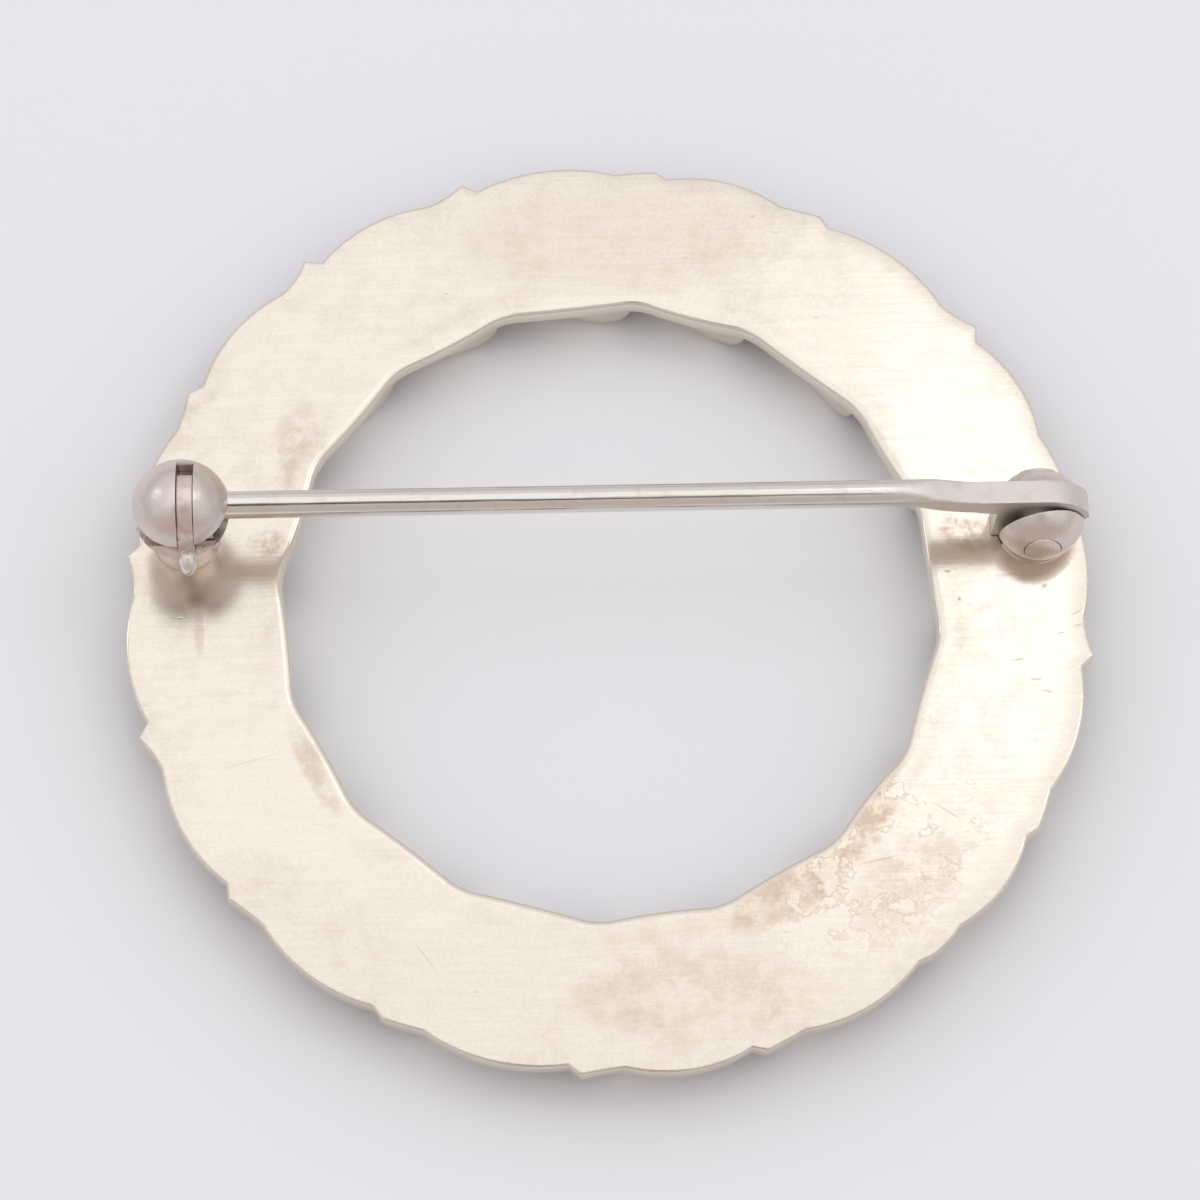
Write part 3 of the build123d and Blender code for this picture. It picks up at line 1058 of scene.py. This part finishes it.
class BROOCH_OT_catch(bpy.types.Operator):
    """Builds the slotted catch ball on its foot, with its solder"""

    bl_idname = "brooch.catch"
    bl_label = "Catch"

    def execute(self, context):
        sizes, finish = context.scene.brooch_sizes, context.scene.brooch_finish
        back, radius = mm(sizes.ring_depth), mm(sizes.catch_radius)
        centre = Vector((LOCK.x - CATCH_SHIFT, LOCK.y, LOCK.z))
        mouth = mm(sizes.wire_diameter) / 2 + MOUTH_GAP
        floor, neck = back - SOLDER_SINK, centre.z - sqrt(radius**2 - FOOT_RADIUS**2)
        solder = FOOT_RADIUS + SOLDER_HEIGHT
        profile = [(0, floor), (solder, floor), (solder, back)]
        profile += [(FOOT_RADIUS, back + SOLDER_HEIGHT), (FOOT_RADIUS, neck)]
        catch = to_object("catch_ball", turned_body(centre, profile))
        width = LOCK_THICKNESS + 2 * TURNING_GAP
        carve(
            catch,
            "DIFFERENCE",
            sector(LOCK, *SLOT_RADII, width, *SLOT_ANGLES),
            sector(LOCK, SLOT_RADII[0], LOCK_RADIUS + TURNING_GAP, width, *HIDDEN_ANGLES),
            rod(HUB_OUTER + TURNING_GAP, HUB_LENGTH + 2 * TURNING_GAP, LOCK, (1, 0, 0)),
            mouth_shape(centre, mouth),
        )
        soften(catch, CATCH_EDGE)
        wear(catch, "brooch", "ring_silver", ["wreath_ring"], grey_silver(finish))
        return {"FINISHED"}


class BROOCH_OT_lock(bpy.types.Operator):
    """Builds the catch's lock: its hub, the segment that closes the mouth, and the lever"""

    bl_idname = "brooch.lock"
    bl_label = "Lock"

    def execute(self, context):
        finish = context.scene.brooch_finish
        lock = to_object("catch_rotor", sector(LOCK, HUB_INNER, HUB_OUTER, HUB_LENGTH, *HUB_ANGLES))
        carve(lock, "UNION", sector(LOCK, HUB_OUTER - HUB_LAP, LOCK_RADIUS, LOCK_THICKNESS, *LOCK_ANGLES))
        lever = bmesh.new()
        half = LEVER_WIDTH / 2
        near, far = LOCK + Vector((0, LEVER_NEAR, 0)), LOCK + Vector((0, LEVER_FAR, 0))
        side = Vector((-LOCK_THICKNESS / 2, 0, 0))
        rising = lever.verts.new(far + side - Vector((0, 0, half)))
        top = arc(lever, rising, far + side, (1, 0, 0), 180, 16)
        falling = lever.verts.new(near + side + Vector((0, 0, half)))
        end = arc(lever, falling, near + side, (1, 0, 0), 180, 16)
        lever.edges.new((top, falling))
        lever.edges.new((end, rising))
        thicken(lever, (LOCK_THICKNESS, 0, 0))
        rim = [edge for edge in lever.edges if abs(edge.verts[0].co.x - edge.verts[1].co.x) < MERGE]
        bmesh.ops.bevel(
            lever,
            geom=rim,
            offset=LEVER_ROUNDING,
            segments=5,
            profile=0.5,
            material=-1,
            affect="EDGES",
            clamp_overlap=True,
        )
        turn = Matrix.Rotation(radians(LOCK_ANGLES[1]), 3, "X")
        bmesh.ops.rotate(lever, cent=LOCK, matrix=turn, verts=lever.verts)
        knob = bmesh.new()
        place = Matrix.Translation(LOCK + Vector((0, *polar(KNOB_PLACE, LOCK_ANGLES[1]))))
        shape = Matrix.Rotation(radians(LOCK_ANGLES[1]), 4, "X") @ Matrix.Diagonal((*KNOB_SIZE, 1))
        bmesh.ops.create_uvsphere(knob, u_segments=40, v_segments=28, radius=1, matrix=place @ shape)
        carve(lock, "UNION", lever, knob)
        soften(lock, LOCK_EDGE)
        wear(lock, "lock", "lock_silver", ["catch_lock"], handled_silver(finish))
        return {"FINISHED"}


def stem_stations(sizes):
    """The pin's sections from its point to the neck: place, height, half sizes and squareness."""
    radius, thickness = mm(sizes.wire_diameter) / 2, mm(sizes.tab_thickness)
    for place, share in POINT:
        yield POINT_X + place, LOCK.z, radius * share, radius * share, sqrt(0.5)
    start, end = RIVET.x - FORGE_REACH, RIVET.x - NECK_REACH
    for step in range(1, WIRE_ROWS):
        yield POINT_X + (start - POINT_X) * step / WIRE_ROWS, LOCK.z, radius, radius, sqrt(0.5)
    neck_z = RIVET.z + TAB_RADIUS - NECK_HEIGHT / 2
    for along, drop, spread, squareness in FORGED:
        half_width = radius + spread * (thickness / 2 - radius)
        half_height = radius + spread * (NECK_HEIGHT / 2 - radius)
        place, height = start + along * (end - start), LOCK.z + drop * (neck_z - LOCK.z)
        yield place, height, half_width, half_height, squareness
    yield end + NECK_LAP, neck_z, thickness / 2, NECK_HEIGHT / 2, squareness


class BROOCH_OT_pin(bpy.types.Operator):
    """Builds the pin: point, wire, forged neck and the disc with its toe and heel"""

    bl_idname = "brooch.pin"
    bl_label = "Pin"

    def execute(self, context):
        sizes, finish = context.scene.brooch_sizes, context.scene.brooch_finish
        stations = list(stem_stations(sizes))
        wire = bmesh.new()
        lie = Matrix.Rotation(pi / 2, 4, "Y")
        bmesh.ops.create_circle(wire, cap_ends=True, segments=WIRE_SIDES, radius=1, matrix=lie)
        for _ in stations[1:]:
            face = max(wire.faces, key=lambda item: item.calc_center_median().x)
            grown = bmesh.ops.extrude_face_region(wire, geom=[face])["geom"]
            verts = [item for item in grown if isinstance(item, bmesh.types.BMVert)]
            # The first cap closes the point, and a later one would be a wall inside the wire
            if len(wire.faces) > len(verts) + 2:
                bmesh.ops.delete(wire, geom=[face], context="FACES_ONLY")
            bmesh.ops.translate(wire, vec=(1, 0, 0), verts=verts)
        for vert in wire.verts:
            x, z, half_width, half_height, squareness = stations[round(vert.co.x)]
            power = -2 * log(squareness) / log(2)
            wide, high = vert.co.y, vert.co.z
            wide = abs(wide) ** power * (half_width if wide > 0 else -half_width)
            high = abs(high) ** power * (half_height if high > 0 else -half_height)
            vert.co = (x, RIVET.y + wide, z + high)
        half = mm(sizes.tab_thickness) / 2
        centre = Vector((RIVET.x, RIVET.y - half, RIVET.z))
        disc = bmesh.new()
        spots = [(-TOE_REACH, -HEEL_RADIUS), (0, -HEEL_RADIUS), polar(TAB_RADIUS, HEEL_END)]
        toe, heel, rise = [disc.verts.new(centre + Vector((x, 0, z))) for x, z in spots]
        spots = [(-NECK_REACH, TAB_RADIUS), (-NECK_REACH, NECK_FOOT), (-TOE_REACH, NECK_FOOT - TOE_STEP)]
        neck = [disc.verts.new(centre + Vector((x, 0, z))) for x, z in spots]
        below = arc(disc, heel, centre, (0, -1, 0), OPENING, 12)
        top = arc(disc, rise, centre, (0, -1, 0), 90 - HEEL_END, 24)
        for pair in ((toe, heel), (below, rise), *zip([top, *neck], [*neck, toe])):
            disc.edges.new(pair)
        thicken(disc, (0, 2 * half, 0))
        pin = to_object("pin", disc)
        carve(pin, "UNION", wire)
        bore = mm(sizes.rivet_diameter) / 2 + RIVET_GAP + TURNING_GAP
        carve(pin, "DIFFERENCE", rod(bore, RIVET_STOCK, RIVET, (0, 1, 0)))
        soften(pin, PIN_EDGE)
        wear(pin, "stem", "stem_silver", ["pin_stem"], drawn_silver(finish))
        return {"FINISHED"}


def light_room(stage, tree, sight):
    """Fills the room with soft light, with the lens as a dark spot in the direction of sight."""
    build = Nodes(tree)
    place = build.node("ShaderNodeTexCoord", {}, {})
    x, y, z = build.parts(build.out(place, "Generated"))
    colour = build.mix(stage.walls, stage.room, z.step(*WALL_HEIGHTS))
    colour = build.mix(colour, stage.near_room, (y * -1).step(*NEAR_SIDE))
    colour = build.mix(colour, stage.lens, (x * sight.x + y * sight.y + z * sight.z).step(*LENS_COSINES))
    room = build.node("ShaderNodeBackground", {}, {"Color": colour, "Strength": stage.room_strength})
    output = build.node("ShaderNodeOutputWorld", {}, {})
    tree.links.new(room.outputs["Background"], output.inputs["Surface"])


class BROOCH_OT_stage(bpy.types.Operator):
    """Lays the floor, hangs the lights and places the camera"""

    bl_idname = "brooch.stage"
    bl_label = "Stage"

    def execute(self, context):
        scene, stage = context.scene, context.scene.brooch_stage
        bm = bmesh.new()
        bmesh.ops.create_circle(bm, cap_ends=True, segments=FLOOR_SIDES, radius=FLOOR_RADIUS)
        floor = to_object("floor", bm)
        floor.data.materials.append(floor_paint(stage))

        turn = Matrix.Rotation(-stage.heading, 4, "Z") @ Matrix.Rotation(pi / 2 - stage.elevation, 4, "X")
        scene.world = bpy.data.worlds.new("room")
        scene.world.use_nodes = True
        light_room(stage, scene.world.node_tree, turn @ Vector((0, 0, 1)))

        for name, place, width, depth, power in LIGHTS:
            lamp = bpy.data.lights.new(name, "AREA")
            lamp.shape = "RECTANGLE"
            lamp.size, lamp.size_y = width, depth
            lamp.energy = power * stage.top_power
            light = bpy.data.objects.new(name, lamp)
            light.location = place
            light.rotation_euler = Vector(place).to_track_quat("Z", "Y").to_euler()
            scene.collection.objects.link(light)

        lens = bpy.data.cameras.new("camera")
        lens.lens = LENS
        lens.sensor_width = SENSOR
        lens.clip_start = 0.005
        camera = bpy.data.objects.new("camera", lens)
        offset = Matrix.Translation((0, 0, stage.distance))
        lean = Matrix.Rotation(stage.roll, 4, "Z")
        camera.matrix_world = Matrix.Translation(CAMERA_AIM) @ turn @ offset @ lean
        scene.collection.objects.link(camera)
        scene.camera = camera
        scene.view_settings.view_transform = "Standard"
        return {"FINISHED"}


class BROOCH_PT_panel(bpy.types.Panel):
    """Lists the pieces of the brooch with their sizes and colours"""

    bl_idname = "BROOCH_PT_panel"
    bl_label = "Circle Brooch"
    bl_space_type = "VIEW_3D"
    bl_region_type = "UI"
    bl_category = "Brooch"

    def draw(self, context):
        for step in STEPS:
            self.layout.operator(step.bl_idname)
        for group in ("brooch_sizes", "brooch_finish", "brooch_stage"):
            values = getattr(context.scene, group)
            box = self.layout.box()
            for name in values.bl_rna.properties.keys():
                if name not in ("rna_type", "name"):
                    box.prop(values, name)


STEPS = (
    BROOCH_OT_plate,
    BROOCH_OT_leaves,
    BROOCH_OT_hinge,
    BROOCH_OT_catch,
    BROOCH_OT_lock,
    BROOCH_OT_pin,
    BROOCH_OT_stage,
)
GROUPS = {"brooch_sizes": BroochSizes, "brooch_finish": BroochFinish, "brooch_stage": BroochStage}


def register():
    for item in (*GROUPS.values(), *STEPS, BROOCH_PT_panel):
        bpy.utils.register_class(item)
    for name, group in GROUPS.items():
        setattr(bpy.types.Scene, name, bpy.props.PointerProperty(type=group))


def unregister():
    for name in GROUPS:
        delattr(bpy.types.Scene, name)
    for item in (BROOCH_PT_panel, *reversed(STEPS), *GROUPS.values()):
        bpy.utils.unregister_class(item)


def main():
    register()
    for step in STEPS:
        kind, name = step.bl_idname.split(".")
        getattr(getattr(bpy.ops, kind), name)()


if __name__ == "__main__":
    main()
